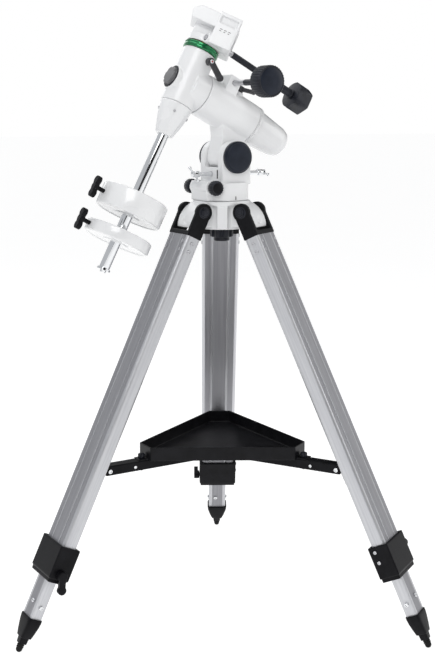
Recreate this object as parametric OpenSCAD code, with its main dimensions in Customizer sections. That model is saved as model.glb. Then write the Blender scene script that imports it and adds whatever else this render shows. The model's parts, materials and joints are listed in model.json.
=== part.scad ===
// German equatorial mount on a three-leg tripod.
// Millimetres, +Z up. X points south, away from the celestial pole; the polar axis
// rises towards -X. The origin is on the ground, in the middle of the footprint.

/* [Tripod] */
// Lean of each leg from the vertical, in degrees
leg_lean = 25.6; // [24:0.1:27]
// Width of a leg rail across the leg
rail_w = 72; // [66:1:78]
// Depth of a leg rail
rail_d = 30; // [28:1:32]
// Height of the leg hinges above the ground
hinge_z = 784; // [770:1:800]
// Distance of the leg hinges from the tripod axis
hinge_r = 59; // [56:1:62]
// Length of the leg rail
rail_len = 640; // [600:5:660]
// Width of the inner, sliding leg
inner_w = 38; // [34:1:40]
// Depth of the inner, sliding leg
inner_d = 22; // [20:1:23]
// Height of the accessory tray's rim above the ground
tray_z = 350; // [335:1:365]
// Distance of the tray's cut corners from the axis
tray_r = 169; // [150:1:180]
// Height of the accessory tray's rim
tray_h = 26; // [20:1:30]

/* [Head] */
// Latitude setting: tilt of the polar axis above the horizontal
latitude = 27.7; // [25:0.1:32]
// Height of the altitude pivot above the ground
pivot_z = 884; // [880:1:890]
// Offset of the altitude pivot from the tripod axis
pivot_x = 8; // [4:1:12]
// Distance from the altitude pivot to the declination axis, along the polar axis
head_reach = 136; // [130:1:142]
// Distance from the altitude pivot to the polar axis
head_rise = 76; // [74:1:80]
// Radius of the polar axis housing
polar_r = 39; // [38:0.5:41]
// Radius of the declination housing
dec_r = 31; // [30:0.5:32]
// Turn of the saddle about the declination axis, in degrees
saddle_turn = 29.8; // [0:1:45]

/* [Counterweights] */
// Radius of the counterweight shaft
shaft_r = 10; // [9:0.5:10]
// Distance from the polar axis to the end of the shaft
shaft_end = 366; // [340:1:380]
// Radius of both counterweights
weight_r = 62; // [58:0.5:64]
// Thickness of the large counterweight
large_t = 42; // [36:1:44]
// Thickness of the small counterweight
small_t = 22; // [18:1:24]

/* [Hidden] */
$fn = 64;
gap = 0.4;
fit = 0.05;
axis_x = 104;
leg_angles = [180, 300, 60];
knob_rest = [200, 20, 110];

// Tripod stations, measured down a leg from its hinge
rail_top = 50;
rail_end = rail_top + rail_len;
clamp_top = rail_end - 34;
clamp_mid = rail_end + 26;
clamp_end = rail_end + 34;
inner_top = 130;
clamp_knob_s = rail_end + 16;
boot_top = 800;
tip_r = 6;
boot_end = (hinge_z - tip_r) / cos(leg_lean);
hub_top = 804;
hub_bottom = 751;
hub_r = 44;
lug_half = rail_w / 2 - 9.5;
lug_out = 82;
lug_bottom = 756;
tray_floor = tray_z - tray_h + 2;

// Azimuth and altitude stations
base_bottom = hub_top + gap;
base_top = 838;
base_r = 50;
peg_x = -40;
screw_z = 829;
cheek_in = 22.5;
cheek_out = 40;
cheek_r = 31;
tail_half = 8;
alt_screw_z = 853;
tail_gap = 2;
bar_front = -60;
bar_rear = 92;
bar_half = 19;

// Head stations: x along the polar axis, z along the declination axis
head_x = pivot_x - head_reach * cos(latitude) + head_rise * sin(latitude);
head_z = pivot_z + head_reach * sin(latitude) + head_rise * cos(latitude);
front_x = -33;
joint_x = 34;
seam_x = 150;
cup_x = 161;
cup_end = 238;
ra_shaft_r = 20;
ra_bush_r = 27;
wheel_x = 75;
worm_z = 44;
wheel_r = 35.5;
ra_knob_y = -122;
dec_joint = -41;
cover_end = -101;
circle_z = 64;
circle_t = 11;
saddle_z = 78;
jaw_z = 139.6;
dec_shaft_r = 14;
dec_worm_z = 86;
dec_worm_y = -30;
large_z = -222 - large_t;
small_z = -294 - small_t;

// ---------- helpers ----------

module on_axis() translate([axis_x, 0, 0]) children();

// Leg frame: origin at the leg hinge, -Z down the leg, +X outwards, Y across the leg
module on_leg(k) {
    on_axis() rotate([0, 0, leg_angles[k]]) translate([hinge_r, 0, hinge_z])
        rotate([0, -leg_lean, 0]) children();
}

// Head frame: origin where the axes cross, X down the polar axis, Z up the declination axis
module on_head() {
    on_axis() translate([head_x, 0, head_z]) rotate([0, latitude, 0]) children();
}

module on_saddle() on_head() rotate([0, 0, -saddle_turn]) children();

module rod_x(x0, x1, r) translate([x0, 0, 0]) rotate([0, 90, 0]) cylinder(h = x1 - x0, r = r);

module rod_y(y0, y1, r) translate([0, y1, 0]) rotate([90, 0, 0]) cylinder(h = y1 - y0, r = r);

module rod_z(z0, z1, r) translate([0, 0, z0]) cylinder(h = z1 - z0, r = r);

module box(x0, x1, y0, y1, z0, z1) {
    translate([x0, y0, z0]) cube([x1 - x0, y1 - y0, z1 - z0]);
}

// Block of depth d and width w, centred on the leg's line
module leg_block(d, w, z0, z1) box(-d / 2, d / 2, -w / 2, w / 2, z0, z1);

module ring_z(z0, z1, r_out, r_in) {
    difference() {
        rod_z(z0, z1, r_out);
        rod_z(z0 - 1, z1 + 1, r_in);
    }
}

// Knob along +Z with a fluted rim
module fluted_knob(r, h, flutes, cut) {
    difference() {
        cylinder(h = h, r = r);
        for (i = [0:flutes - 1])
            rotate([0, 0, i * 360 / flutes]) translate([r + cut * 0.5, 0, -1])
                cylinder(h = h + 2, r = cut, $fn = 24);
    }
}

// Two-lobed wing along Y on a stem that points along -Z
module wing(lobe_y, lobe_r, h, stem_r, stem_len) {
    cylinder(h = h, r = lobe_r * 0.95);
    for (s = [-1, 1]) translate([0, s * lobe_y, 0]) cylinder(h = h, r = lobe_r);
    box(-lobe_r * 0.7, lobe_r * 0.7, -lobe_y, lobe_y, 0, h);
    rod_z(-stem_len, 0.5, stem_r);
}

// ---------- tripod ----------

module tripod_hub() {
    color("white") on_axis() difference() {
        union() {
            rod_z(hub_bottom, hub_top, hub_r);
            rod_z(hub_top - 8, hub_top, 54);
            for (a = leg_angles) rotate([0, 0, a]) hub_lug();
            for (a = leg_angles) rotate([0, 0, a + 60]) box(30, 52, -10, 10, hub_bottom + 2, hub_top - 4);
        }
        rod_z(hub_bottom - 1, hub_top + 1, 8.1);
        for (a = leg_angles) rotate([0, 0, a]) {
            translate([hinge_r, 0, hinge_z]) rod_y(-60, 60, 5.05);
            box(lug_out - 6, lug_out + 4, -7, 7, lug_bottom + 8, hub_top - 18);
        }
    }
}

module hub_lug() {
    intersection() {
        box(20, lug_out, -lug_half, lug_half, lug_bottom, hub_top);
        translate([hinge_r - 27, 0, hub_top - 50]) rod_y(-60, 60, 50);
    }
}

module leg_brackets() {
    color([0.08, 0.08, 0.09]) for (k = [0:2]) on_leg(k) difference() {
        union() {
            for (s = [-1, 1]) mirror([0, s < 0 ? 1 : 0, 0]) {
                translate([0, rail_w / 2, 0]) rod_y(-8.5, 0, 17);
                box(-15, 15, rail_w / 2 - 8.5, rail_w / 2, -rail_top, 0);
            }
            box(-15, 15, -rail_w / 2, rail_w / 2, -rail_top, -rail_top + 9);
        }
        rod_y(-60, 60, 5.05);
    }
}

module hinge_bolts() {
    color("silver") for (k = [0:2]) on_leg(k) {
        rod_y(-rail_w / 2 - 1, rail_w / 2 + 1, 5);
        translate([0, rail_w / 2, 0]) rod_y(0, 5, 8.5, $fn = 6);
        translate([0, -rail_w / 2, 0]) rod_y(-5, 0, 8.5, $fn = 6);
    }
}

module rail_profile() {
    difference() {
        square([rail_d, rail_w], center = true);
        square([inner_d + 1.2, inner_w + 1.2], center = true);
        for (s = [-1, 1]) {
            translate([0, s * (rail_w + inner_w) / 4 + s * 0.2])
                square([rail_d - 5, (rail_w - inner_w) / 2 - 5], center = true);
            for (f = [-1, 1]) translate([f * rail_d / 2, s * rail_w * 0.24])
                square([2.4, 3.2], center = true);
        }
    }
}

module leg_rail(k) {
    color([0.75, 0.76, 0.78]) on_leg(k) translate([0, 0, -rail_end])
        linear_extrude(height = rail_len) rail_profile();
}

module leg_screws() {
    color("gainsboro") for (k = [0:2]) on_leg(k) {
        for (s = [-1, 1], d = [62, 78]) translate([0, s * rail_w / 2, -d]) rotate([-90 * s, 0, 0])
            cylinder(h = 1.6, r = 3, $fn = 24);
        for (d = [10, 30]) translate([-8, -rail_w / 2 - 5, -clamp_top - d]) rotate([90, 0, 0])
            cylinder(h = 1.6, r = 3, $fn = 24);
    }
}

module leg_clamp(k) {
    color([0.07, 0.07, 0.08]) on_leg(k) difference() {
        union() {
            leg_block(rail_d + 10, rail_w + 10, -clamp_mid, -clamp_top);
            leg_block(rail_d + 6, rail_w + 6, -clamp_end, -clamp_mid + 1);
        }
        leg_block(rail_d + 2 * fit, rail_w + 2 * fit, -rail_end, -clamp_top + 1);
        leg_block(inner_d + 2 * gap, inner_w + 2 * gap, -clamp_end - 1, -clamp_top);
        translate([0, 0, -clamp_knob_s]) rod_y(0, 60, 4.05);
    }
}

module clamp_knob(k) {
    color([0.07, 0.07, 0.08]) on_leg(k) translate([0, rail_w / 2 + 5.6, -clamp_knob_s]) {
        rod_y(-20, 1, 4);
        rod_y(0, 12, 9);
        rotate([0, knob_rest[k], 0]) {
            box(-6, 6, 3, 12, 0, 26);
            translate([0, 0, 26]) rod_y(3, 12, 8);
        }
    }
}

module lower_leg(k) {
    color([0.78, 0.79, 0.8]) on_leg(k) {
        leg_block(inner_d, inner_w, -boot_top - 2, -inner_top);
        boot();
    }
}

// Tapered foot with a round rubber tip
module boot() {
    foot_s = boot_top + 40;
    intersection() {
        leg_block(inner_d + 6, inner_w + 6, -foot_s, -boot_top);
        translate([0, 0, -foot_s]) cylinder(h = foot_s - boot_top, r1 = 14, r2 = 27);
    }
    translate([0, 0, -boot_end]) cylinder(h = boot_end - foot_s + 1, r1 = tip_r, r2 = 8.5);
    translate([0, 0, -boot_end]) sphere(r = tip_r);
}

module spreader_arms() {
    arm_top = tray_floor - 2;
    arm_end = hinge_r + (hinge_z - arm_top) * tan(leg_lean) - 24;
    pad_s = (hinge_z - arm_top + 9) / cos(leg_lean);
    color([0.08, 0.08, 0.09]) for (k = [0:2]) {
        on_axis() rotate([0, 0, leg_angles[k]]) difference() {
            box(22, arm_end, -12, 12, arm_top - 18, arm_top);
            translate([tray_r + 8, 0, 0]) rod_z(arm_top - 20, arm_top + 1, 2.6);
        }
        on_leg(k) box(-rail_d / 2 - 9, -rail_d / 2, -15, 15, -pad_s - 17, -pad_s + 17);
    }
}

module accessory_tray() {
    color([0.06, 0.06, 0.07]) on_axis() difference() {
        union() {
            tray_solid(0, tray_floor - 2, tray_z);
            for (a = leg_angles) rotate([0, 0, a])
                box(tray_r - 10, tray_r + 18, -12, 12, tray_floor - 2, tray_floor);
        }
        tray_solid(2, tray_floor, tray_z + 1);
        for (a = leg_angles) rotate([0, 0, a]) translate([tray_r + 8, 0, 0])
            rod_z(tray_floor - 6, tray_floor + 4, 2.6);
    }
}

// Triangle with cut corners, each side moved in by inset
module tray_solid(inset, z0, z1) {
    corner = 22;
    side = tray_r * cos(60) + corner * sin(60);
    translate([0, 0, z0]) linear_extrude(height = z1 - z0) intersection_for (a = leg_angles) {
        rotate(a) translate([-side + inset, -400]) square([side - inset + tray_r - inset, 800]);
    }
}

module tray_screws() {
    color([0.1, 0.1, 0.11]) on_axis() for (a = leg_angles) rotate([0, 0, a]) translate([tray_r + 8, 0, 0]) {
        rod_z(tray_floor - 24, tray_floor + 1, 2.5);
        rod_z(tray_floor, tray_floor + 9, 6);
    }
}

module centre_bolt() {
    color([0.07, 0.07, 0.08]) on_axis() {
        rod_z(hub_bottom - 4, base_bottom + 20, 8);
        translate([0, 0, hub_bottom - 17]) fluted_knob(22, 16.5, 12, 3);
        rod_z(hub_bottom - 24, hub_bottom - 16, 15);
    }
}

module azimuth_peg() {
    color("silver") on_axis() translate([peg_x, 0, 0]) {
        rod_z(hub_top, base_top - 4, 4.5);
        rod_z(hub_top, hub_top + 3, 6, $fn = 6);
    }
}

// ---------- azimuth head ----------

module azimuth_base() {
    color("white") on_axis() difference() {
        union() {
            rod_z(base_bottom, base_top, base_r);
            box(-base_r, -20, -29, 29, base_bottom, base_top + 3);
            translate([peg_x, 0, screw_z]) rod_y(-31, 31, 12.5);
            cheeks();
        }
        translate([pivot_x, 0, pivot_z]) rod_y(-60, 60, 6.05);
        box(peg_x - 6.5, peg_x + 6.5, -14, 14, base_bottom - 1, base_top - 2);
        translate([peg_x, 0, screw_z]) {
            rod_y(-60, 60, 3.05);
            for (s = [0, 1]) mirror([0, s, 0]) rod_y(31.8, 60, 15.4);
        }
        translate([0, 0, alt_screw_z]) rod_x(-60, 60, 4.05);
        rod_z(base_bottom - 1, base_bottom + 22, 8.06);
    }
}

module cheeks() {
    difference() {
        union() {
            box(pivot_x - cheek_r, pivot_x + cheek_r, -cheek_out, cheek_out, base_top - 4, pivot_z);
            translate([pivot_x, 0, pivot_z]) rod_y(-cheek_out, cheek_out, cheek_r);
        }
        box(-17, 34, -cheek_in, cheek_in, base_top + 2, pivot_z);
        box(pivot_x - 60, pivot_x + 60, -cheek_in, cheek_in, 866, pivot_z + 60);
    }
}

module azimuth_screw(s) {
    color("silver") on_axis() translate([peg_x, 0, screw_z]) mirror([0, s > 0 ? 0 : 1, 0])
        rod_y(4.9, 44, 3);
}

module azimuth_knob(s) {
    color([0.07, 0.07, 0.08]) on_axis() translate([peg_x, 0, screw_z]) mirror([0, s > 0 ? 0 : 1, 0])
        difference() {
            translate([0, 38, 0]) rotate([-90, 0, 0]) fluted_knob(14, 14, 14, 1.4);
            rod_y(30, 44.3, 3.05);
        }
}

module altitude_bolt() {
    color("silver") on_axis() translate([pivot_x, 0, pivot_z]) rod_y(-cheek_out - 4, cheek_out + 4, 6);
}

module altitude_caps() {
    color([0.06, 0.06, 0.07]) on_axis() translate([pivot_x, 0, pivot_z]) for (s = [0, 1]) mirror([0, s, 0])
        difference() {
            union() {
                rod_y(cheek_out, cheek_out + 8, 29.5);
                rod_y(cheek_out + 7, cheek_out + 11, 26);
            }
            rod_y(cheek_out - 1, cheek_out + 4, 6);
        }
}

module altitude_screw_front() {
    color("silver") on_axis() translate([0, 0, alt_screw_z])
        rod_x(bar_front + 4.4, pivot_x - tail_half - tail_gap, 4);
}

module altitude_screw_rear() {
    color("silver") on_axis() translate([0, 0, alt_screw_z])
        rod_x(pivot_x + tail_half + tail_gap, bar_rear - 4.4, 4);
}

module altitude_handle_front() {
    color("silver") on_axis() translate([bar_front, 0, alt_screw_z]) mirror([1, 0, 0]) t_bar(125);
}

module altitude_handle_rear() {
    color("silver") on_axis() translate([bar_rear, 0, alt_screw_z]) t_bar(100);
}

// Sleeve on the inner side of a cross bar; the bar is turned from the vertical by turn
module t_bar(turn) {
    difference() {
        rod_x(-11, 4, 6);
        rod_x(-12, -4, 4.05);
    }
    rotate([turn, 0, 0]) {
        rod_z(-bar_half, bar_half, 2);
        for (s = [-1, 1]) translate([0, 0, s * bar_half]) sphere(r = 3.2, $fn = 32);
    }
}

// ---------- polar head ----------

module polar_housing() {
    color("white") on_head() difference() {
        union() {
            rod_x(joint_x, seam_x, polar_r);
            rod_x(seam_x - 1, cup_x, polar_r - 4);
            box(wheel_x - 13, wheel_x + 13, -31, 31, 20, worm_z + 11);
            translate([wheel_x + 24, -16, 0]) rod_z(28, polar_r - 1, 8);
            lug();
        }
        rod_x(joint_x - 1, cup_x + 1, ra_bush_r);
        rod_x(wheel_x - 10, wheel_x + 10, wheel_r + 0.5);
        translate([wheel_x, 0, worm_z]) rod_y(-27, 27, 8.4);
        translate([wheel_x, 0, worm_z]) rod_y(-40, 40, 5.05);
        translate([head_reach, 0, -head_rise]) rod_y(-60, 60, 6.05);
    }
}

// Tongue between the cheeks, with a tail that the altitude screws press on
module lug() {
    w = cheek_in - gap;
    translate([head_reach, 0, -head_rise]) {
        rod_y(-w, w, 27);
        rotate([90, 0, 0]) translate([0, 0, -w]) linear_extrude(height = 2 * w)
            polygon([[-27, 0], [27, 0], [13, 30], [13, 50], [-52, 50], [-34, 24]]);
        rotate([0, -latitude, 0]) box(-tail_half, tail_half, -12, 12, -42, 0);
    }
}

module ra_bearings() {
    color("silver") on_head() for (x = [joint_x + 4, seam_x - 12]) translate([x, 0, 0]) rotate([0, 90, 0])
        ring_z(0, 10, ra_bush_r, ra_shaft_r + fit);
}

module ra_worm() {
    color("silver") on_head() translate([wheel_x, 0, worm_z]) {
        rod_y(-24, 24, 8);
        rod_y(-100, 34, 5);
    }
}

module ra_slow_knob() {
    color([0.06, 0.06, 0.07]) on_head() translate([wheel_x, 0, worm_z]) difference() {
        union() {
            translate([0, ra_knob_y, 0]) rotate([90, 0, 0]) fluted_knob(28, 30, 16, 2.2);
            rod_y(ra_knob_y, ra_knob_y + 26, 8);
        }
        rod_y(-100, 0, 5);
    }
}

module polar_cup() {
    color("white") on_head() difference() {
        union() {
            translate([cup_x + 0.4, 0, 0]) rotate([0, 90, 0]) cylinder(h = 60, r1 = 35, r2 = 29);
            translate([cup_x + 60.3, 0, 0]) rotate([0, 90, 0]) cylinder(h = 11, r1 = 29, r2 = 25);
            translate([cup_x + 71.2, 0, 0]) rotate([0, 90, 0]) cylinder(h = 5.8, r1 = 25, r2 = 18);
        }
        rod_x(cup_x - 1, cup_x + 58, 26);
    }
}

module ra_setting_circle() {
    color("white") on_head() translate([seam_x + 0.4, 0, 0]) rotate([0, 90, 0])
        ring_z(0, 10.2, polar_r - 0.5, polar_r - 3.6);
}

module ra_lock_lever() {
    color([0.08, 0.08, 0.09]) on_head() translate([wheel_x + 24, -16, 0]) {
        rod_z(polar_r - 0.6, polar_r + 11, 6);
        rotate([0, 0, -60]) box(0, 26, -4.5, 4.5, polar_r + 3, polar_r + 9);
        rotate([0, 0, -60]) translate([26, 0, 0]) rod_z(polar_r + 3, polar_r + 9, 6);
    }
}

// ---------- right ascension rotor ----------

module dec_housing() {
    color("white") on_head() difference() {
        union() {
            rod_z(dec_joint, circle_z, dec_r);
            intersection() {
                rod_x(0, joint_x - 0.5, polar_r - 2);
                box(-1, joint_x, -60, 60, -60, 60);
            }
            rod_x(front_x, 0, 22);
        }
        rod_z(dec_joint - 1, circle_z + 1, 22);
        rod_x(18, joint_x + 1, ra_shaft_r);
        rod_x(front_x - 1, -20, 17.05);
    }
}

module ra_shaft() {
    color("silver") on_head() difference() {
        rod_x(23, seam_x + 4, ra_shaft_r);
        rod_x(22, seam_x + 5, 11);
        rod_z(-60, 60, 22);
    }
}

module ra_worm_wheel() {
    color([0.8, 0.65, 0.3]) on_head() translate([wheel_x - 7, 0, 0]) rotate([0, 90, 0])
        ring_z(0, 14, wheel_r, ra_shaft_r);
}

module dec_bearings() {
    color("silver") on_head() for (z = [dec_joint + 4, circle_z - 14])
        ring_z(z, z + 10, 22, dec_shaft_r + fit);
}

module dec_lower_cover() {
    color("white") on_head() difference() {
        translate([0, 0, cover_end]) cylinder(h = dec_joint - cover_end, r1 = 15, r2 = dec_r - 0.5);
        translate([0, 0, cover_end + 30]) cylinder(h = 31, r1 = 18, r2 = 26);
        rod_z(cover_end - 1, dec_joint, shaft_r);
    }
}

module counterweight_shaft() {
    color("gainsboro") on_head() {
        rod_z(-shaft_end, dec_joint - 6, shaft_r);
        rod_z(dec_joint - 5, dec_joint, 24);
    }
}

module toe_saver() {
    color("gainsboro") on_head() {
        rod_z(-shaft_end - 4, -shaft_end, 12.5);
        translate([0, 0, -shaft_end - 8]) cylinder(h = 4.5, r1 = 5, r2 = 6.5);
    }
}

module polar_front_cap() {
    color([0.35, 0.35, 0.36]) on_head() {
        rod_x(front_x, -22, 17);
        translate([front_x + 0.5, 0, 0]) rotate([0, -90, 0]) fluted_knob(16.8, 6.5, 6, 3.5);
    }
}

module dec_worm_wheel() {
    color([0.8, 0.65, 0.3]) on_head() difference() {
        union() {
            rod_z(circle_z, circle_z + circle_t + gap, 26);
            rod_z(circle_z, saddle_z + 11, 21.5);
        }
        rod_z(circle_z - 1, saddle_z + 12, dec_shaft_r + fit);
    }
}

module dec_setting_circle() {
    color([0.05, 0.45, 0.2]) on_head() ring_z(circle_z + 0.4, circle_z + circle_t, 33, 26.05);
}

module dec_lock_lever() {
    color([0.2, 0.2, 0.22]) on_head() translate([8, 0, 50]) {
        rod_y(-42, -31.4, 7);
        rotate([0, 30, 0]) {
            box(0, 34, -43, -38, -5.5, 5.5);
            translate([34, 0, 0]) rod_y(-43, -38, 6.5);
        }
    }
}

// ---------- counterweights ----------

module counterweight(z, t) {
    color("white") on_head() difference() {
        rotate_extrude() polygon([[shaft_r + fit, z], [weight_r - 3, z], [weight_r, z + 3],
            [weight_r, z + t - 3], [weight_r - 3, z + t], [shaft_r + fit, z + t]]);
        translate([0, 0, z + t / 2]) rod_x(-80, 0, 4.05);
    }
}

module weight_knob(z) {
    color([0.06, 0.06, 0.07]) on_head() translate([-weight_r - 14, 0, z]) rotate([0, -90, 0])
        rotate([0, 0, 90]) wing(12, 8, 9, 4, weight_r + 14 - shaft_r - 0.5);
}

// ---------- declination rotor ----------

module dec_shaft() {
    color("silver") on_head() difference() {
        rod_z(dec_joint + 2, saddle_z + 14, dec_shaft_r);
        rod_x(-30, 30, 10);
    }
}

module saddle() {
    color("white") difference() {
        union() {
            on_saddle() saddle_body();
            on_head() translate([0, dec_worm_y, dec_worm_z]) rod_x(-16, 36, 9.6);
        }
        on_head() rod_z(saddle_z - 1, saddle_z + 12, 22);
        on_head() rod_z(saddle_z - 1, saddle_z + 14, dec_shaft_r);
        on_head() translate([0, dec_worm_y, dec_worm_z]) {
            rod_x(-14, 14, 8.4);
            rod_x(-30, 60, 5.05);
        }
    }
}

// Block with a dovetail channel along X; the near side is the fixed jaw, and the far side
// reaches back over the declination axis
module saddle_body() {
    difference() {
        union() {
            rod_z(saddle_z, saddle_z + 14, 31);
            box(8, 50, -42, 26, saddle_z, jaw_z);
            box(-28, 9, -12, 26, saddle_z, saddle_z + 36);
            box(-28, 50, 26, 44, saddle_z + 20, jaw_z);
            rotate([90, 0, 0]) translate([0, 0, -27]) linear_extrude(height = 57)
                polygon([[9, saddle_z + 34], [9, jaw_z], [-28, jaw_z], [-42, jaw_z - 12], [-38, saddle_z + 34]]);
        }
        translate([-50, 0, 0]) rotate([90, 0, 90]) linear_extrude(height = 110)
            polygon([[-26, saddle_z + 42], [20, saddle_z + 42], [15, jaw_z - 3], [15, jaw_z + 6],
                [-22, jaw_z + 6], [-22, jaw_z - 3]]);
        box(13, 45, -43, -38, jaw_z - 20, jaw_z - 7);
        for (x = [-14, 26]) translate([x, 0, saddle_z + 46]) rod_y(10, 60, 3.05);
    }
}

// Clamp screw through the outer jaw, with a round knob
module saddle_screw(x, y_end, r) {
    color([0.75, 0.6, 0.3]) on_saddle() translate([x, 0, saddle_z + 46]) {
        rod_y(20.5, y_end - 8, 3);
        rod_y(y_end - 10, y_end, r);
    }
}

module dec_worm() {
    color("silver") on_head() translate([0, dec_worm_y, dec_worm_z]) {
        rod_x(-12, 12, 8);
        rod_x(-18, 178, 5);
    }
}

module dec_slow_knob() {
    color([0.06, 0.06, 0.07]) on_head() translate([0, dec_worm_y, dec_worm_z]) difference() {
        union() {
            translate([196, 0, 0]) rotate([0, 90, 0]) fluted_knob(27, 32, 7, 5);
            rod_x(168, 197, 8);
        }
        rod_x(100, 180, 5);
    }
}

tripod_hub();
leg_brackets();
leg_rail(0);  // leg_rail_1
leg_rail(1);  // leg_rail_2
leg_rail(2);  // leg_rail_3
leg_clamp(0);  // leg_clamp_1
leg_clamp(1);  // leg_clamp_2
leg_clamp(2);  // leg_clamp_3
lower_leg(0);  // lower_leg_1
lower_leg(1);  // lower_leg_2
lower_leg(2);  // lower_leg_3
clamp_knob(0);  // clamp_knob_1
clamp_knob(1);  // clamp_knob_2
clamp_knob(2);  // clamp_knob_3
hinge_bolts();
leg_screws();
spreader_arms();
accessory_tray();
tray_screws();
centre_bolt();
azimuth_peg();
azimuth_base();
azimuth_screw(-1);  // azimuth_screw_near
azimuth_screw(1);  // azimuth_screw_far
azimuth_knob(-1);  // azimuth_knob_near
azimuth_knob(1);  // azimuth_knob_far
altitude_bolt();
altitude_caps();
altitude_screw_front();
altitude_screw_rear();
altitude_handle_front();
altitude_handle_rear();
polar_housing();
ra_bearings();
ra_worm();
ra_slow_knob();
polar_cup();
ra_setting_circle();
ra_lock_lever();
dec_housing();
ra_shaft();
ra_worm_wheel();
dec_bearings();
dec_lower_cover();
counterweight_shaft();
toe_saver();
polar_front_cap();
dec_worm_wheel();
dec_setting_circle();
dec_lock_lever();
counterweight(large_z, large_t);  // counterweight_large
counterweight(small_z, small_t);  // counterweight_small
weight_knob(large_z + large_t / 2);  // weight_knob_large
weight_knob(small_z + small_t / 2);  // weight_knob_small
dec_shaft();
saddle();
saddle_screw(-14, 64, 9);  // saddle_screw_main
saddle_screw(26, 58, 6);  // saddle_screw_small
dec_worm();
dec_slow_knob();
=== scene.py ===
"""Looks of the equatorial mount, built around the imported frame. Local shapes are in millimetres."""
import json
import math

import bmesh
import bpy
from mathutils import Matrix, Vector


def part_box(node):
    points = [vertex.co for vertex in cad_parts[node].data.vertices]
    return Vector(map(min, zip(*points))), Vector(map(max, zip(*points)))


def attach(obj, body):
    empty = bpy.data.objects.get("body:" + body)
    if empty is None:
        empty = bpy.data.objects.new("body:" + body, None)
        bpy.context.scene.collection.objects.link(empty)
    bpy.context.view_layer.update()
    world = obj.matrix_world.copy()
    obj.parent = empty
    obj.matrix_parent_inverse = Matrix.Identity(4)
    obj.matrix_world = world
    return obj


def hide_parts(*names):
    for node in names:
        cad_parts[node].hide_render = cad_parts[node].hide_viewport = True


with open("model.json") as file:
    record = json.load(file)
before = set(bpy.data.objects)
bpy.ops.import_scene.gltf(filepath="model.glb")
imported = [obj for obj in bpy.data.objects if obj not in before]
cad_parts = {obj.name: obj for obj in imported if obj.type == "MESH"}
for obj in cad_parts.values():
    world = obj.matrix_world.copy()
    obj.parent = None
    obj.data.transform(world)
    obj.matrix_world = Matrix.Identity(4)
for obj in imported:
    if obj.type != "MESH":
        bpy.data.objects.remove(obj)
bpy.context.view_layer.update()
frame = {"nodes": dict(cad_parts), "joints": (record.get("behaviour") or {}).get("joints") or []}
JOINTS = {j["name"]: j for j in frame["joints"]}
NODES = frame["nodes"]
MM = 0.001

# ---------- local frames, from the joints ----------


def axes(x, y, z, origin):
    """Matrix from a local frame in millimetres to the row frame in metres."""
    m = Matrix.Identity(4)
    for column, axis in enumerate((x, y, z)):
        for row in range(3):
            m[row][column] = axis[row] * MM
    m.translation = Vector(origin)
    return m


EU = Vector(JOINTS["right_ascension"]["axis"])
EV = Vector(JOINTS["declination"]["axis"])
SADDLE_Y = Vector(JOINTS["saddle_screw_turn_main"]["axis"])
P0 = Vector(JOINTS["right_ascension"]["pos_m"])
AXIS_X = JOINTS["azimuth"]["pos_m"][0]
PIVOT = Vector(JOINTS["altitude"]["pos_m"])
HEAD = axes(EU, (0, 1, 0), EV, P0)
SADDLE = axes(SADDLE_Y.cross(EV), SADDLE_Y, EV, P0)
AXIS = axes((1, 0, 0), (0, 1, 0), (0, 0, 1), (AXIS_X, 0, 0))
CLAMP_KNOB_DOWN = 706


def leg_frame(k):
    """Origin at the leg's hinge, -Z down the leg, +X outwards."""
    down = Vector(JOINTS[f"leg_extend_{k}"]["axis"])
    across = Vector(JOINTS[f"leg_clamp_turn_{k}"]["axis"])
    hinge = Vector(JOINTS[f"leg_clamp_turn_{k}"]["pos_m"]) - down * CLAMP_KNOB_DOWN * MM
    return axes(across.cross(-down), across, -down, hinge)


LEGS = {k: leg_frame(k) for k in (1, 2, 3)}


def along(axis):
    """Turns a shape built along Z so that it points along axis."""
    return Vector((0, 0, 1)).rotation_difference(Vector(axis)).to_matrix().to_4x4()


def at(x, y, z):
    return Matrix.Translation((x, y, z))


# ---------- materials ----------


def nodes_of(name):
    mat = bpy.data.materials.new(name)
    mat.use_nodes = True
    tree = mat.node_tree
    return mat, tree, tree.nodes["Principled BSDF"]


def noise(tree, source, scale, detail=4.0, stretch=(1, 1, 1)):
    """Noise over a coordinate source; scale is in features per unit."""
    mapping = tree.nodes.new("ShaderNodeMapping")
    mapping.inputs["Scale"].default_value = stretch
    tree.links.new(source, mapping.inputs["Vector"])
    tex = tree.nodes.new("ShaderNodeTexNoise")
    tex.inputs["Scale"].default_value = scale
    tex.inputs["Detail"].default_value = detail
    tree.links.new(mapping.outputs["Vector"], tex.inputs["Vector"])
    return tex.outputs["Fac"]


def ramp(tree, fac, low, high, start=0.3, end=0.7):
    node = tree.nodes.new("ShaderNodeValToRGB")
    node.color_ramp.elements[0].position = start
    node.color_ramp.elements[1].position = end
    node.color_ramp.elements[0].color = (*low, 1)
    node.color_ramp.elements[1].color = (*high, 1)
    tree.links.new(fac, node.inputs["Fac"])
    return node.outputs["Color"]


def spread(tree, fac, low, high):
    node = tree.nodes.new("ShaderNodeMapRange")
    node.inputs["To Min"].default_value = low
    node.inputs["To Max"].default_value = high
    tree.links.new(fac, node.inputs["Value"])
    return node.outputs["Result"]


def bumps(tree, shader, fac, strength, distance):
    node = tree.nodes.new("ShaderNodeBump")
    node.inputs["Strength"].default_value = strength
    node.inputs["Distance"].default_value = distance
    tree.links.new(fac, node.inputs["Height"])
    tree.links.new(node.outputs["Normal"], shader.inputs["Normal"])


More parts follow.
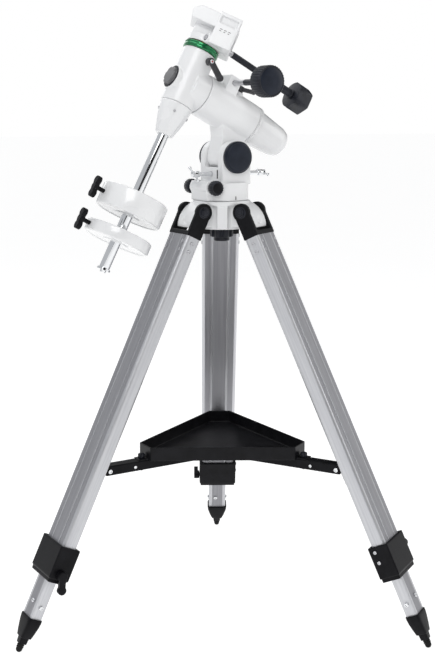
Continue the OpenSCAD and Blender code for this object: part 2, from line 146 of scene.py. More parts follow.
def finish_material(name, low, high, rough, grain, metallic=0.0, coat=0.0, bump=(0.1, 0.0002), stretch=(1, 1, 1),
                    local=False, specular=0.5):
    """Colour and roughness that vary with a noise, over a fine bump. grain is (mottle, fine) per metre."""
    mat, tree, shader = nodes_of(name)
    if local:
        coords = tree.nodes.new("ShaderNodeAttribute")
        coords.attribute_name = "local"
        source = coords.outputs["Vector"]
    else:
        coords = tree.nodes.new("ShaderNodeTexCoord")
        source = coords.outputs["Object"]
    mottle = noise(tree, source, grain[0], 5.0, stretch)
    fine = noise(tree, source, grain[1], 3.0, stretch)
    tree.links.new(ramp(tree, mottle, low, high), shader.inputs["Base Color"])
    tree.links.new(spread(tree, mottle, rough[0], rough[1]), shader.inputs["Roughness"])
    bumps(tree, shader, fine, *bump)
    shader.inputs["Metallic"].default_value = metallic
    shader.inputs["Coat Weight"].default_value = coat
    shader.inputs["Coat Roughness"].default_value = 0.08
    shader.inputs["Specular IOR Level"].default_value = specular
    return mat


WHITE = finish_material("white_enamel", (0.76, 0.765, 0.775), (0.81, 0.815, 0.82), (0.2, 0.34), (14, 700),
                        coat=0.6, bump=(0.06, 0.0002))
WHITE_CAST = finish_material("white_casting", (0.75, 0.755, 0.765), (0.80, 0.805, 0.81), (0.3, 0.45), (14, 420),
                             coat=0.35, bump=(0.12, 0.0003))
BLACK = finish_material("black_plastic", (0.003, 0.003, 0.004), (0.008, 0.008, 0.010), (0.3, 0.5), (60, 1500),
                        bump=(0.25, 0.0002), specular=0.12)
KNOB = finish_material("knob_plastic", (0.008, 0.009, 0.013), (0.02, 0.022, 0.03), (0.32, 0.5), (70, 1800),
                       bump=(0.2, 0.00015), specular=0.25)
KNOB_FACE = finish_material("knob_face", (0.005, 0.008, 0.016), (0.011, 0.015, 0.026), (0.3, 0.42), (50, 1600),
                            bump=(0.1, 0.00015), specular=0.25)
RUBBER = finish_material("foot_rubber", (0.008, 0.008, 0.008), (0.018, 0.018, 0.018), (0.7, 0.9), (90, 900),
                         bump=(0.4, 0.0004), specular=0.2)
TRAY = finish_material("tray_plastic", (0.004, 0.004, 0.005), (0.010, 0.010, 0.012), (0.28, 0.42), (40, 1100),
                       bump=(0.22, 0.0002), specular=0.15)
DARK = finish_material("dark_casting", (0.02, 0.02, 0.023), (0.04, 0.04, 0.045), (0.35, 0.5), (80, 1200),
                       bump=(0.2, 0.0002))
GREY = finish_material("grey_cap", (0.10, 0.10, 0.105), (0.16, 0.16, 0.165), (0.3, 0.45), (60, 1000),
                       bump=(0.2, 0.0002))
CHROME = finish_material("chrome_plate", (0.74, 0.75, 0.77), (0.80, 0.81, 0.82), (0.05, 0.12), (40, 300),
                         metallic=1.0, bump=(0.03, 0.0001))
STEEL = finish_material("turned_steel", (0.50, 0.50, 0.52), (0.60, 0.60, 0.62), (0.25, 0.38), (90, 1500),
                        metallic=1.0, bump=(0.1, 0.0001))
BRASS = finish_material("turned_brass", (0.55, 0.40, 0.18), (0.66, 0.50, 0.24), (0.22, 0.34), (90, 1200),
                        metallic=1.0, bump=(0.1, 0.0001))
GREEN = finish_material("green_anodise", (0.004, 0.16, 0.05), (0.008, 0.24, 0.08), (0.14, 0.24), (60, 900),
                        metallic=0.7, coat=0.5, bump=(0.05, 0.0001))
INK = finish_material("scale_ink", (0.03, 0.03, 0.03), (0.06, 0.06, 0.06), (0.5, 0.6), (400, 900),
                      bump=(0.05, 0.0001))
LEG = finish_material("anodised_extrusion", (0.50, 0.505, 0.53), (0.62, 0.625, 0.645), (0.34, 0.5), (0.25, 1.4),
                      metallic=0.85, bump=(0.05, 0.05), stretch=(1, 1, 0.02), local=True)
# Darker, less metallic copy of the leg finish for strips on the legs' wide faces: painted reflection of dark
# surroundings and painted shade. The bare extrusion itself is lighter.
LEG_PAINTED_REFLECTION = finish_material("painted_reflection_band", (0.27, 0.27, 0.29), (0.34, 0.34, 0.36), (0.4, 0.55), (0.25, 1.4),
                           metallic=0.6, bump=(0.05, 0.05), stretch=(1, 1, 0.02), local=True)
RED = finish_material("red_dot", (0.30, 0.02, 0.02), (0.40, 0.03, 0.03), (0.3, 0.4), (300, 900), bump=(0.05, 0.0001))

# ---------- shape tools ----------


def lathe(bm, profile, turn=Matrix.Identity(4), steps=96, lobes=0, depth=0.0, power=1.0):
    """Turns a closed profile of (r, z) round Z. With lobes, radii marked by a third value True are fluted."""
    rings = []
    for point in profile:
        r, z = point[0], point[1]
        fluted = len(point) > 2 and point[2]
        if r == 0:
            rings.append([bm.verts.new(turn @ Vector((0, 0, z)))])
            continue
        ring = []
        for i in range(steps):
            a = 2 * math.pi * i / steps
            rr = r - depth * abs(math.sin(lobes * a / 2)) ** power if fluted else r
            ring.append(bm.verts.new(turn @ Vector((rr * math.cos(a), rr * math.sin(a), z))))
        rings.append(ring)
    pairs = list(zip(rings, rings[1:]))
    if len(rings[0]) > 1 and len(rings[-1]) > 1:
        pairs.append((rings[-1], rings[0]))
    for lower, upper in pairs:
        for i in range(steps):
            j = (i + 1) % steps
            corners = [lower[i % len(lower)], lower[j % len(lower)], upper[j % len(upper)], upper[i % len(upper)]]
            unique = [v for n, v in enumerate(corners) if v not in corners[:n]]
            if len(unique) > 2:
                bm.faces.new(unique)


def prism(bm, outline, z0, z1, turn=Matrix.Identity(4)):
    """Extrudes an outline of (x, y) from z0 to z1."""
    low = [bm.verts.new(turn @ Vector((x, y, z0))) for x, y in outline]
    high = [bm.verts.new(turn @ Vector((x, y, z1))) for x, y in outline]
    bm.faces.new(list(reversed(low)))
    bm.faces.new(high)
    for i in range(len(outline)):
        j = (i + 1) % len(outline)
        bm.faces.new([low[i], low[j], high[j], high[i]])


def block(bm, x0, x1, y0, y1, z0, z1, turn=Matrix.Identity(4)):
    prism(bm, [(x0, y0), (x1, y0), (x1, y1), (x0, y1)], z0, z1, turn)


def ngon(r, n, phase=0.0):
    return [(r * math.cos(phase + 2 * math.pi * i / n), r * math.sin(phase + 2 * math.pi * i / n)) for i in range(n)]


def evaluate(mesh, steps):
    """The mesh after a list of (modifier type, settings), as a new mesh."""
    obj = bpy.data.objects.new("work", mesh)
    bpy.context.scene.collection.objects.link(obj)
    for kind, settings in steps:
        modifier = obj.modifiers.new(kind.lower(), kind)
        for key, value in settings.items():
            setattr(modifier, key, value)
    result = bpy.data.meshes.new_from_object(obj.evaluated_get(bpy.context.evaluated_depsgraph_get()))
    bpy.data.objects.remove(obj)
    return result


def place_piece(mesh, name, body, material, place, replaces=(), sharp=40.0):
    """Stores the local coordinates, moves the mesh into the row frame and makes it ride on a body."""
    local = mesh.attributes.new("local", "FLOAT_VECTOR", "POINT")
    for i, v in enumerate(mesh.vertices):
        local.data[i].vector = v.co
    mesh.transform(place)
    mesh.materials.clear()
    mesh.materials.append(material)
    for polygon in mesh.polygons:
        polygon.use_smooth = True
    mesh.set_sharp_from_angle(angle=math.radians(sharp))
    mesh.name = name
    obj = bpy.data.objects.new(name, mesh)
    bpy.context.scene.collection.objects.link(obj)
    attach(obj, body)
    if replaces:
        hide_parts(*replaces)
    return obj


def piece(name, body, material, place, build, bevel=0.8, replaces=(), segments=3, limit=32.0, sharp=50.0):
    """A piece from a function that fills a bmesh, with its edges rounded."""
    bm = bmesh.new()
    build(bm)
    bmesh.ops.recalc_face_normals(bm, faces=bm.faces)
    mesh = bpy.data.meshes.new(name)
    bm.to_mesh(mesh)
    bm.free()
    steps = []
    if bevel:
        steps.append(("BEVEL", {"width": bevel, "segments": segments, "limit_method": "ANGLE",
                                "angle_limit": math.radians(limit), "use_clamp_overlap": True}))
    return place_piece(evaluate(mesh, steps), name, body, material, place, replaces, sharp)


def cast(name, node, body, material, place, voxel=1.1, smooth=8):
    """A casting: a CAD node's solid, remeshed so that its edges and inner corners are rounded."""
    bm = bmesh.new()
    bm.from_mesh(NODES[node].data)
    bmesh.ops.transform(bm, matrix=place.inverted(), verts=bm.verts)
    bmesh.ops.remove_doubles(bm, verts=bm.verts, dist=0.001)
    mesh = bpy.data.meshes.new(name)
    bm.to_mesh(mesh)
    bm.free()
    result = evaluate(mesh, [("REMESH", {"mode": "VOXEL", "voxel_size": voxel}),
                             ("SMOOTH", {"factor": 0.5, "iterations": smooth})])
    return place_piece(result, name, body, material, place, (node,), 75.0)


def keep(material, *names):
    """CAD nodes whose shape stays, with a better material."""
    for name in names:
        mesh = NODES[name].data
        mesh.materials.clear()
        mesh.materials.append(material)


def cap_screw(bm, turn, r, h):
    """Round screw head with a hexagonal socket, standing on z = 0."""
    socket = r * 0.5
    outer = [(r, 0), (r, h * 0.8), (r * 0.85, h)]
    inner = [(socket, h), (socket * 0.95, h * 0.35), (0, h * 0.3)]
    lathe(bm, [(0, 0)] + outer + inner, turn, 24)


# ---------- tripod ----------

RAIL_TOP = 50
RAIL_END = 690
RAIL_HALF_D = 15
RAIL_HALF_W = 36
INNER_HALF_D = 11
INNER_HALF_W = 19
BOOT_TOP = 800
CORNER = 7.0


def rail_outline():
    """Rounded extrusion whose two wide faces carry a ridge and a groove each side of the middle."""
    side = [(RAIL_HALF_D - CORNER + CORNER * math.cos(a), RAIL_HALF_W - CORNER + CORNER * math.sin(a))
            for a in (math.radians(90 - 15 * i) for i in range(7))]
    face = [(15, 18.6), (13.2, 18.2), (13.2, 16.6), (15.3, 16.2), (15.3, 14.2), (14.2, 13.8)]
    half = side + face
    quarter_mirror = [(x, -y) for x, y in reversed(half)]
    right = half + quarter_mirror
    left = [(-x, -y) for x, y in right]
    return list(reversed(right + left))


def rail(k):
    def build(bm):
        outline = rail_outline()
        hole = [(INNER_HALF_D + 0.6, -INNER_HALF_W - 0.6), (INNER_HALF_D + 0.6, INNER_HALF_W + 0.6),
                (-INNER_HALF_D - 0.6, INNER_HALF_W + 0.6), (-INNER_HALF_D - 0.6, -INNER_HALF_W - 0.6)]
        loops = []
        for z in (-RAIL_END, -RAIL_TOP):
            loops.append([[bm.verts.new((x, y, z)) for x, y in ring] for ring in (outline, hole)])
        for ring in (0, 1):
            low, high = loops[0][ring], loops[1][ring]
            for i in range(len(low)):
                j = (i + 1) % len(low)
                bm.faces.new([low[i], low[j], high[j], high[i]])
        for outer, inner in loops:
            edges = [bm.edges.get((ring[i], ring[(i + 1) % len(ring)])) for ring in (outer, inner)
                     for i in range(len(ring))]
            bmesh.ops.triangle_fill(bm, edges=edges, use_beauty=True)
    piece(f"rail_extrusion_{k}", "tripod", LEG, LEGS[k], build, bevel=0,
          replaces=(f"leg_rail_{k}",), sharp=28)

    # Thin dark strips floated on the rail's wide faces between the ridges: painted reflection and painted shade, not a
    # part of the leg.
    def bands(bm):
        for s in (-1, 1):
            for y0, y1 in ((-30, -19), (-13.6, 13.6), (19, 30)):
                block(bm, s * 14.9, s * 15.08, y0, y1, -RAIL_END, -RAIL_TOP)
    piece(f"rail_painted_reflection_{k}", "tripod", LEG_PAINTED_REFLECTION, LEGS[k], bands, bevel=0)


def lower_leg(k):
    def tube(bm):
        block(bm, -INNER_HALF_D, INNER_HALF_D, -INNER_HALF_W, INNER_HALF_W, -BOOT_TOP - 6, -130)
    piece(f"leg_tube_{k}", f"leg_{k}", LEG, LEGS[k], tube, bevel=2.2)

    # Thin dark strips floated on the lower tube's wide faces: painted reflection and painted shade, not a part of the
    # leg.
    def tube_painted_reflection(bm):
        for s in (-1, 1):
            block(bm, s * 10.9, s * 11.06, -12, 12, -BOOT_TOP + 1, -140)
    piece(f"tube_painted_reflection_{k}", f"leg_{k}", LEG_PAINTED_REFLECTION, LEGS[k], tube_painted_reflection, bevel=0)

    def boot(bm):
        sections = [(0, 14, 22), (6, 14, 22), (14, 13.4, 20.8), (28, 12.2, 16.5), (39.5, 11, 12), (40.5, 8.6, 8.6),
                    (52, 7.8, 7.8)]
        rings = []
        for down, hx, hy in sections:
            ring = []
            for i in range(40):
                a = 2 * math.pi * i / 40
                c, s = math.cos(a), math.sin(a)
                ring.append(bm.verts.new((hx * math.copysign(abs(c) ** 0.35, c),
                                          hy * math.copysign(abs(s) ** 0.35, s), -BOOT_TOP - down)))
            rings.append(ring)
        for low, high in zip(rings, rings[1:]):
            for i in range(40):
                bm.faces.new([low[i], low[(i + 1) % 40], high[(i + 1) % 40], high[i]])
        bm.faces.new(rings[0])
        bm.faces.new(list(reversed(rings[-1])))
    piece(f"leg_boot_{k}", f"leg_{k}", BLACK, LEGS[k], boot, bevel=0.8,
          replaces=(f"lower_leg_{k}",), sharp=45)

    tip_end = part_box(f"lower_leg_{k}")[0].z
    length = (LEGS[k].translation.z - tip_end) / (MM * abs((LEGS[k].to_3x3() @ Vector((0, 0, 1))).normalized().z))

    def tip(bm):
        steps = 8
        end = length - 0.4
        dome = [(6 * math.sin(math.pi / 2 * i / steps), -end + 6 - 6 * math.cos(math.pi / 2 * i / steps))
                for i in range(steps + 1)]
        ribs = []
        for i in range(4):
            z = -end + 9 + i * 3.5
            ribs += [(6, z), (6.8, z + 0.8), (6.8, z + 2.0), (6, z + 2.8)]
        lathe(bm, [(0, -end)] + dome[1:] + ribs + [(6, -BOOT_TOP - 50), (0, -BOOT_TOP - 50)], steps=32)
    piece(f"rubber_tip_{k}", f"leg_{k}", RUBBER, LEGS[k], tip, bevel=0)

    def pins(bm):
        for x, y in ((0, 1), (0, -1)):
            cap_screw(bm, at(x, y * INNER_HALF_W, -BOOT_TOP + 22) @ along((0, y, 0)), 4.2, 3.4)
        for s in (-1, 1):
            cap_screw(bm, at(s * INNER_HALF_D, 4, -BOOT_TOP + 30) @ along((s, 0, 0)), 4.2, 3.0)
    piece(f"leg_stop_pins_{k}", f"leg_{k}", CHROME, LEGS[k], pins, bevel=0.3)


def leg_screws():
    for k in LEGS:
        def build(bm):
            for s in (-1, 1):
                for down in (62, 78):
                    cap_screw(bm, at(0, s * RAIL_HALF_W, -down) @ along((0, s, 0)), 3.8, 1.9)
                    cap_screw(bm, at(RAIL_HALF_D, s * 26, -down) @ along((1, 0, 0)), 3.0, 1.2)
            for down in (666, 686):
                cap_screw(bm, at(-8, -RAIL_HALF_W - 5, -down) @ along((0, -1, 0)), 3.4, 2.0)
        piece(f"rail_screws_{k}", "tripod", STEEL, LEGS[k], build, bevel=0.2,
              replaces=("leg_screws",) if k == 1 else ())


def tripod():
    cast("hub_casting", "tripod_hub", "tripod", WHITE_CAST, AXIS, 1.3, 8)
    cast("bracket_mouldings", "leg_brackets", "tripod", BLACK, AXIS, 1.0, 6)
    for k in LEGS:
        rail(k)
        lower_leg(k)
        cast(f"clamp_moulding_{k}", f"leg_clamp_{k}", "tripod", BLACK, LEGS[k], 1.0, 6)
        cast(f"clamp_wing_{k}", f"clamp_knob_{k}", f"leg_knob_{k}", BLACK, LEGS[k], 0.7, 7)
    leg_screws()
    cast("arm_channels", "spreader_arms", "tripod", BLACK, AXIS, 1.0, 3)
    cast("tray_moulding", "accessory_tray", "tripod", TRAY, AXIS, 0.9, 3)

    def tray_knobs(bm):
        low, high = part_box("tray_screws")
        top, bottom = high.z / MM, low.z / MM
        for angle in (180, 300, 60):
            turn = Matrix.Rotation(math.radians(angle), 4, "Z") @ at(177, 0, 0)
            lathe(bm, [(0, bottom), (2.5, bottom), (2.5, top - 9), (6.6, top - 8.6, True), (6.6, top - 1, True),
                       (5, top), (0, top)], turn, 48, 12, 0.8)
    piece("tray_thumb_screws", "tripod", KNOB, AXIS, tray_knobs, bevel=0.3, replaces=("tray_screws",))

    def arm_fasteners(bm):
        for angle in (180, 300, 60):
            turn = Matrix.Rotation(math.radians(angle), 4, "Z")
            for s in (-1, 1):
                cap_screw(bm, turn @ at(248, s * 12, 314) @ along((0, s, 0)), 4.2, 2.2)
                cap_screw(bm, turn @ at(196, s * 12, 314) @ along((0, s, 0)), 3.0, 1.4)
    piece("arm_pins", "tripod", CHROME, AXIS, arm_fasteners, bevel=0.2)

    def centre_knob(bm):
        low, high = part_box("centre_bolt")
        b, t = low.z / MM, high.z / MM
        lathe(bm, [(0, b), (14, b), (15, b + 1.2), (15, b + 7), (22, b + 8, True), (22.5, b + 20, True),
                   (20, b + 23, True), (8, b + 24), (8, t), (0, t)], steps=144, lobes=12, depth=2.2)
    piece("centre_knob", "tripod", KNOB, AXIS, centre_knob, bevel=0.6, replaces=("centre_bolt",))

    def hinge_nuts(bm):
        for k in LEGS:
            to_axis = AXIS.inverted() @ LEGS[k]
            for s in (-1, 1):
                end = RAIL_HALF_W
                turn = to_axis @ at(0, s * end, 0) @ along((0, s, 0))
                prism(bm, ngon(8.4, 6), -0.5, 4.4, turn)
                lathe(bm, [(0, -3), (5, -3), (5, 4), (5, 5.4), (4, 6.2), (0, 6.2)], turn, 32)
                lathe(bm, [(0, -0.8), (11, -0.8), (11, 0.4), (0, 0.4)], turn, 40)
    piece("hinge_nuts", "tripod", KNOB, AXIS, hinge_nuts, bevel=0.5, replaces=("hinge_bolts",))


# ---------- azimuth and altitude ----------


def fluted(name, body, slot, place, turn, r, h, lobes, depth, face=KNOB_FACE, replaces=(), bore=0.0, material=KNOB,
           dish=0.6, power=1.0):
    """Fluted hand knob along +Z with a slightly dished face plate."""
    def rim(bm):
        inner = [(bore, 0.0)] if bore else [(0, 0.0)]
        lathe(bm, inner + [(r - 1.6, 0), (r, 1.8, True), (r, h - 2.2, True), (r - 1.5, h - 0.4, True),
                           (r - depth - 2.4, h), (r - depth - 3.4, h - dish)]
              + ([(bore, h - dish)] if bore else [(0, h - dish)]),
              turn, max(96, lobes * 12), lobes, depth, power)
    piece(name, body, material, place, rim, bevel=0.5, replaces=replaces, limit=40)

    def plate(bm):
        rp = r - depth - 3.6
        lathe(bm, [(0, h - dish - 1), (rp, h - dish - 1), (rp, h - 0.5), (rp - 0.6, h - 0.15), (rp * 0.5, h + 0.05),
                   (0, h + 0.1)], turn, 72)
    piece(name + "_face", body, face, place, plate, bevel=0)


def azimuth():
    cast("azimuth_casting", "azimuth_base", "azimuth_head", WHITE_CAST, AXIS, 1.0, 7)
    keep(STEEL, "altitude_bolt", "azimuth_peg")
    keep(CHROME, "azimuth_screw_near", "azimuth_screw_far", "altitude_screw_front", "altitude_screw_rear")
    peg = Vector(JOINTS["azimuth_knob_turn_near"]["pos_m"])
    local = AXIS.inverted() @ peg
    for side, s in (("near", -1), ("far", 1)):
        turn = at(local.x, s * 38, local.z) @ along((0, s, 0))
        fluted(f"azimuth_grip_{side}", f"azimuth_knob_{side}", "black_plastic", AXIS, turn, 14, 14, 18, 0.9,
               face=BLACK, replaces=(f"azimuth_knob_{side}",))
    pivot = AXIS.inverted() @ PIVOT

    def caps(bm):
        for s in (-1, 1):
            turn = at(pivot.x, s * 40, pivot.z) @ along((0, s, 0))
            lathe(bm, [(0, 0), (29, 0), (29.5, 0.8), (29.5, 6.5), (28.4, 8), (26.6, 8.4), (26.2, 9.6), (25, 10.6),
                       (14, 11.2), (0, 11.4)], turn, 96)
    piece("altitude_cap_discs", "azimuth_head", KNOB_FACE, AXIS, caps, bevel=0.3,
          replaces=("altitude_caps",))
    for side, sign in (("front", -1), ("rear", 1)):
        t_handle(side, sign)

    def index(bm):
        block(bm, -0.6, 0.6, -51, -49, 806, 813)
        block(bm, -34, -33, -41, -38, 846, 862)
    piece("index_marks", "azimuth_head", INK, AXIS, index, bevel=0.1)


def t_handle(side, sign):
    node = f"altitude_handle_{side}"
    low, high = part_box(node)
    hub = (high.x if sign > 0 else low.x) / MM - AXIS_X / MM - sign * 4
    z = JOINTS[f"altitude_handle_turn_{side}"]["pos_m"][2] / MM
    half_y = (high.y - low.y) / 2 / MM - 3.2
    turn_angle = math.asin(min(1.0, half_y / 19.0))
    direction = Vector((0, -math.sin(turn_angle), -abs(math.cos(turn_angle))))

    def build(bm):
        sleeve = at(hub, 0, z) @ along((sign, 0, 0))
        lathe(bm, [(4.05, -11), (5.6, -11), (6, -10), (6, -2), (5, -1), (5, 1), (6, 2), (6, 3.4), (5.4, 4), (0, 4),
                   (0, -3.9), (4.05, -3.9)], sleeve, 48)
        bar = at(hub, 0, z) @ along(direction)
        lathe(bm, [(0, -19), (1.9, -19), (1.9, 19), (0, 19)], bar, 24)
        for end in (-1, 1):
            ball = [(3.2 * math.sin(math.pi * i / 16), end * 19 - 3.2 * math.cos(math.pi * i / 16)) for i in range(17)]
            ball[0] = (0, end * 19 - 3.2)
            ball[-1] = (0, end * 19 + 3.2)
            lathe(bm, ball, bar, 32)
    piece(f"t_handle_{side}", f"altitude_handle_{side}", CHROME, AXIS, build, bevel=0, replaces=(node,))


# ---------- polar head ----------


def polar_head():
    cast("polar_casting", "polar_housing", "polar_head", WHITE_CAST, HEAD, 1.1, 8)
    cast("end_cup", "polar_cup", "polar_cup", WHITE, HEAD, 0.9, 5)
    keep(STEEL, "ra_bearings", "ra_worm", "ra_shaft", "dec_bearings", "dec_shaft", "dec_worm")
    keep(BRASS, "ra_worm_wheel", "dec_worm_wheel")
    ring_marks("ra_circle", "ra_setting_circle", "ra_circle", HEAD @ at(150.4, 0, 0) @ along((1, 0, 0)), 38.5, 10.2,
               WHITE, INK, 72)
    worm = HEAD.inverted() @ Vector(JOINTS["ra_slow_motion"]["pos_m"])
    turn = at(worm.x, -122, worm.z) @ along((0, -1, 0))
    fluted("ra_hand_knob", "ra_drive", "black_plastic", HEAD, turn, 28, 30, 36, 0.8, replaces=("ra_slow_knob",))

    def neck(bm):
        t = at(worm.x, -122, worm.z) @ along((0, 1, 0))
        lathe(bm, [(5.02, 0), (9, 0), (9, 3), (7.6, 5), (7.6, 24), (6.8, 26), (5.6, 26.4), (5.6, 56), (5.02, 56.6)], t,
              48)
    piece("ra_knob_neck", "ra_drive", KNOB, HEAD, neck, bevel=0.4)
    cast("ra_lever", "ra_lock_lever", "ra_lever", DARK, HEAD, 0.6, 6)


def ring_marks(name, node, body, place, r, h, material, ink, count):
    """A setting circle with plain division marks and a fluted grip edge."""
    inner = r - 3.0

    def ring(bm):
        lathe(bm, [(inner, 0.1), (r - 0.6, 0.1), (r, 0.7), (r, h * 0.55), (r - 0.5, h * 0.62), (r - 0.5, h * 0.68),
                   (r, h * 0.74, True), (r, h - 0.8, True), (r - 0.6, h, False), (inner, h)], steps=count * 4,
              lobes=count * 2, depth=0.5)
    piece(name + "_ring", body, material, place, ring,
          bevel=0, replaces=(node,))

    def marks(bm):
        for i in range(count):
            long = h * (0.42 if i % 6 == 0 else 0.26)
            turn = Matrix.Rotation(2 * math.pi * i / count, 4, "Z")
            block(bm, r - 0.3, r + 0.06, -0.16, 0.16, 0.9, 0.9 + long, turn)
    piece(name + "_marks", body, ink, place, marks, bevel=0)


# ---------- right ascension rotor ----------


def dec_head():
    cast("dec_casting", "dec_housing", "ra_axis", WHITE_CAST, HEAD, 1.1, 8)
    cast("front_cap", "polar_front_cap", "polar_front_cap", GREY, HEAD, 0.8, 5)
    keep(CHROME, "toe_saver")

    def cap_ring(bm):
        lathe(bm, [(17.2, -0.3), (21.2, -0.3), (21.2, 0.25), (17.2, 0.25)], at(-33, 0, 0) @ along((-1, 0, 0)), 64)
    piece("cap_ring", "ra_axis", KNOB, HEAD, cap_ring, bevel=0)
    ring_marks("dec_circle", "dec_setting_circle", "dec_circle", HEAD @ at(0, 0, 64.4), 33, 10.6, GREEN, INK, 72)

    def cover(bm):
        top, bottom = -41.4, -101.0
        rows = []
        for t in [0, 0.03, 0.2, 0.4, 0.6, 0.8, 0.97, 1.0]:
            r = 30.6 + (15.2 - 30.6) * t ** 1.15
            if t in (0, 1.0):
                r -= 1.0
            flat = min(1.0, max(0.0, (t - 0.1) / 0.4))
            ring = []
            for i in range(96):
                a = 2 * math.pi * i / 96
                step = math.pi / 4
                octagon = math.cos(step / 2) / math.cos(((a + step / 2) % step) - step / 2)
                ring.append(bm.verts.new((r * (1 + flat * (octagon * 1.06 - 1)) * math.cos(a),
                                          r * (1 + flat * (octagon * 1.06 - 1)) * math.sin(a),
                                          top + (bottom - top) * t)))
            rows.append(ring)
        for low, high in zip(rows, rows[1:]):
            for i in range(96):
                bm.faces.new([low[i], low[(i + 1) % 96], high[(i + 1) % 96], high[i]])
        bore = [[bm.verts.new((10.1 * math.cos(2 * math.pi * i / 96), 10.1 * math.sin(2 * math.pi * i / 96), z))
                 for i in range(96)] for z in (top, bottom)]
        for ring, hole in ((rows[0], bore[0]), (rows[-1], bore[1]), (bore[0], bore[1])):
            for i in range(96):
                bm.faces.new([ring[i], ring[(i + 1) % 96], hole[(i + 1) % 96], hole[i]])
    piece("lower_cover", "ra_axis", WHITE, HEAD, cover, bevel=0.5, replaces=("dec_lower_cover",),
          limit=20, sharp=18)

    def cover_screws(bm):
        for a in (20, 110, 200, 290):
            turn = Matrix.Rotation(math.radians(a + 45), 4, "Z") @ at(27.6, 0, -58) @ along((1, 0, -0.25))
            cap_screw(bm, turn, 2.6, 1.4)
    piece("cover_screws", "ra_axis", STEEL, HEAD, cover_screws, bevel=0.15)

    def bar(bm):
        lathe(bm, [(0, -366), (9.4, -366), (10, -365), (10, -46), (0, -46)], steps=96)
        lathe(bm, [(0, -41.6), (20, -41.6), (20, -45.9), (0, -45.9)], steps=64)
    piece("weight_bar", "ra_axis", CHROME, HEAD, bar, bevel=0, replaces=("counterweight_shaft",))
    cast("dec_lever", "dec_lock_lever", "dec_lever", DARK, HEAD, 0.5, 6)
    pivot = HEAD.inverted() @ Vector(JOINTS["dec_lock"]["pos_m"])

    def lever_pin(bm):
        lathe(bm, [(0, 0), (3.6, 0), (3.6, 1.2), (3.0, 1.8), (0, 1.8)], at(pivot.x, -42.6, pivot.z) @ along((0, -1, 0)),
              32)
    piece("dec_lever_pin", "dec_lever", CHROME, HEAD, lever_pin, bevel=0.2)

    def lever_dot(bm):
        lathe(bm, [(0, 0), (1.6, 0), (1.6, 0.3), (0, 0.3)], at(pivot.x, -44.2, pivot.z) @ along((0, -1, 0)), 24)
    piece("dec_lever_dot", "dec_lever", RED, HEAD, lever_dot, bevel=0)


def weights():
    for size in ("large", "small"):
        low, high = node_span(f"counterweight_{size}")

        def disc(bm):
            lathe(bm, [(10.05, low), (24, low), (25, low + 1.2), (56, low + 1.2), (57.4, low), (59.5, low),
                       (61.6, low + 1.8), (62, low + 3), (62, high - 3), (61.4, high - 1.2),
                       (59.6, high), (57, high), (55.6, high - 1.0), (26, high - 1.0), (24.6, high), (10.05, high)],
                  steps=144)
        piece(f"weight_disc_{size}", f"weight_{size}", WHITE, HEAD, disc, bevel=0,
              replaces=(f"counterweight_{size}",), sharp=30)
        cast(f"weight_wing_{size}", f"weight_knob_{size}", f"weight_knob_{size}", BLACK, HEAD, 0.7, 6)


def node_span(node):
    """Lowest and highest point of a node along the declination axis, in local millimetres."""
    inverse = HEAD.inverted()
    heights = [(inverse @ v.co).z for v in NODES[node].data.vertices]
    return min(heights), max(heights)


# ---------- saddle ----------


def saddle():
    cast("saddle_casting", "saddle", "dec_axis", WHITE_CAST, SADDLE, 0.9, 5)
    for size, x, end, r in (("main", -14, 64, 9), ("small", 26, 58, 6)):
        turn = at(x, 20.5, 124) @ along((0, 1, 0))

        def stud(bm):
            lathe(bm, [(0, 0), (2.6, 0), (3, 0.6), (3, end - 30), (0, end - 30)], turn, 32)
        piece(f"clamp_stud_{size}", f"saddle_screw_{size}", BRASS, SADDLE, stud, bevel=0)
        grip = at(x, end - 10, 124) @ along((0, 1, 0))
        fluted(f"clamp_grip_{size}", f"saddle_screw_{size}", "brass", SADDLE, grip, r, 10, 14, 0.7, face=BLACK,
               replaces=(f"saddle_screw_{size}",), material=BRASS, dish=0.5)

    def marks(bm):
        for i in range(3):
            block(bm, 18 + 8 * i, 23 + 8 * i, -42.15, -41.6, 108, 109)
            block(bm, 18 + 8 * i, 21.5 + 8 * i, -42.15, -41.6, 104.5, 105.5)
    piece("jaw_marks", "dec_axis", INK, SADDLE, marks, bevel=0)
    worm = HEAD.inverted() @ Vector(JOINTS["dec_slow_motion"]["pos_m"])
    turn = at(196, worm.y, worm.z) @ along((1, 0, 0))
    fluted("dec_hand_knob", "dec_drive", "black_plastic", HEAD, turn, 27, 32, 6, 3.0, replaces=("dec_slow_knob",),
           power=1.0)

    def neck(bm):
        t = at(196, worm.y, worm.z) @ along((-1, 0, 0))
        lathe(bm, [(5.02, 0), (9, 0), (9, 3), (7.6, 5), (7.6, 25), (6.8, 27), (5.8, 27.4), (5.8, 150), (5.02, 150.6)], t,
              48)
    piece("dec_knob_neck", "dec_drive", KNOB, HEAD, neck, bevel=0.4)


# ---------- camera, floor, light ----------


def camera():
    data = bpy.data.cameras.new("camera")
    data.lens = 61.76
    data.sensor_width = 36
    obj = bpy.data.objects.new("camera", data)
    bpy.context.scene.collection.objects.link(obj)
    eye = Vector((AXIS_X - 1.11656862, -1.82083679, 0.95238191))
    look = Vector((0.51095436, 0.84010365, -0.18207551))
    obj.matrix_world = Matrix.Translation(eye) @ look.to_track_quat("-Z", "Y").to_matrix().to_4x4()
    bpy.context.scene.camera = obj


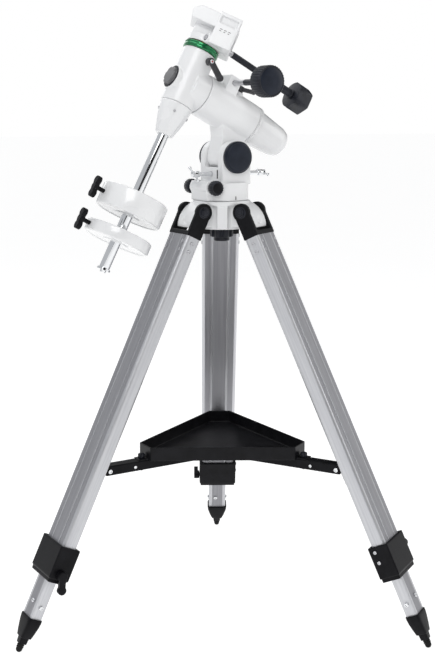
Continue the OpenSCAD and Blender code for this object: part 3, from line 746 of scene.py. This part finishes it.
def floor():
    mat, tree, shader = nodes_of("pale_floor")
    coords = tree.nodes.new("ShaderNodeTexCoord")
    tone = noise(tree, coords.outputs["Object"], 1.5)
    tree.links.new(ramp(tree, tone, (0.36, 0.36, 0.36), (0.38, 0.38, 0.38)), shader.inputs["Base Color"])
    shader.inputs["Roughness"].default_value = 0.85
    shader.inputs["Emission Color"].default_value = (1, 1, 1, 1)
    shader.inputs["Emission Strength"].default_value = 0.87
    bm = bmesh.new()
    prism(bm, [(-60, -60), (60, -60), (60, 60), (-60, 60)], -0.02, 0)
    mesh = bpy.data.meshes.new("floor")
    bm.to_mesh(mesh)
    bm.free()
    mesh.materials.append(mat)
    obj = bpy.data.objects.new("floor", mesh)
    bpy.context.scene.collection.objects.link(obj)


def area_light(name, place, target, size, power):
    data = bpy.data.lights.new(name, "AREA")
    data.shape = "SQUARE"
    data.size = size
    data.energy = power
    obj = bpy.data.objects.new(name, data)
    bpy.context.scene.collection.objects.link(obj)
    direction = Vector(target) - Vector(place)
    obj.matrix_world = Matrix.Translation(place) @ direction.to_track_quat("-Z", "Y").to_matrix().to_4x4()


def lights():
    world = bpy.data.worlds.new("world")
    world.use_nodes = True
    tree = world.node_tree
    room = tree.nodes["Background"]
    coords = tree.nodes.new("ShaderNodeTexCoord")
    aside = tree.nodes.new("ShaderNodeVectorMath")
    aside.operation = "DOT_PRODUCT"
    aside.inputs[1].default_value = (0.5 * 0.855, -0.5 * 0.519, 0)
    tree.links.new(coords.outputs["Generated"], aside.inputs[0])
    shift = tree.nodes.new("ShaderNodeMath")
    shift.operation = "ADD"
    shift.inputs[1].default_value = 0.5
    tree.links.new(aside.outputs["Value"], shift.inputs[0])
    walls = tree.nodes.new("ShaderNodeValToRGB")
    walls.color_ramp.elements[0].position = 0.30
    walls.color_ramp.elements[0].color = (0.95, 0.97, 1, 1)
    walls.color_ramp.elements[1].position = 0.40
    walls.color_ramp.elements[1].color = (0.04, 0.04, 0.045, 1)
    for position, value in ((0.74, 0.04), (0.84, 0.9)):
        walls.color_ramp.elements.new(position).color = (value, value, value, 1)
    tree.links.new(shift.outputs["Value"], walls.inputs["Fac"])
    tree.links.new(walls.outputs["Color"], room.inputs["Color"])
    room.inputs["Strength"].default_value = 0.6
    sweep = tree.nodes.new("ShaderNodeBackground")
    sweep.inputs["Color"].default_value = (1, 1, 1, 1)
    sweep.inputs["Strength"].default_value = 1.0
    path = tree.nodes.new("ShaderNodeLightPath")
    mix = tree.nodes.new("ShaderNodeMixShader")
    tree.links.new(path.outputs["Is Camera Ray"], mix.inputs["Fac"])
    tree.links.new(room.outputs["Background"], mix.inputs[1])
    tree.links.new(sweep.outputs["Background"], mix.inputs[2])
    tree.links.new(mix.outputs["Shader"], tree.nodes["World Output"].inputs["Surface"])
    bpy.context.scene.world = world
    bpy.context.scene.view_settings.view_transform = "Standard"
    middle = (0, 0, 0.6)
    area_light("key", (-1.4, -2.0, 2.6), middle, 1.5, 34)
    area_light("side", (2.4, -1.2, 1.6), middle, 1.6, 12)
    area_light("top", (0.1, 0.2, 3.2), middle, 2.4, 34)
    area_light("back", (0.4, 2.4, 2.0), middle, 1.6, 10)


camera()
floor()
lights()
tripod()
azimuth()
polar_head()
dec_head()
weights()
saddle()
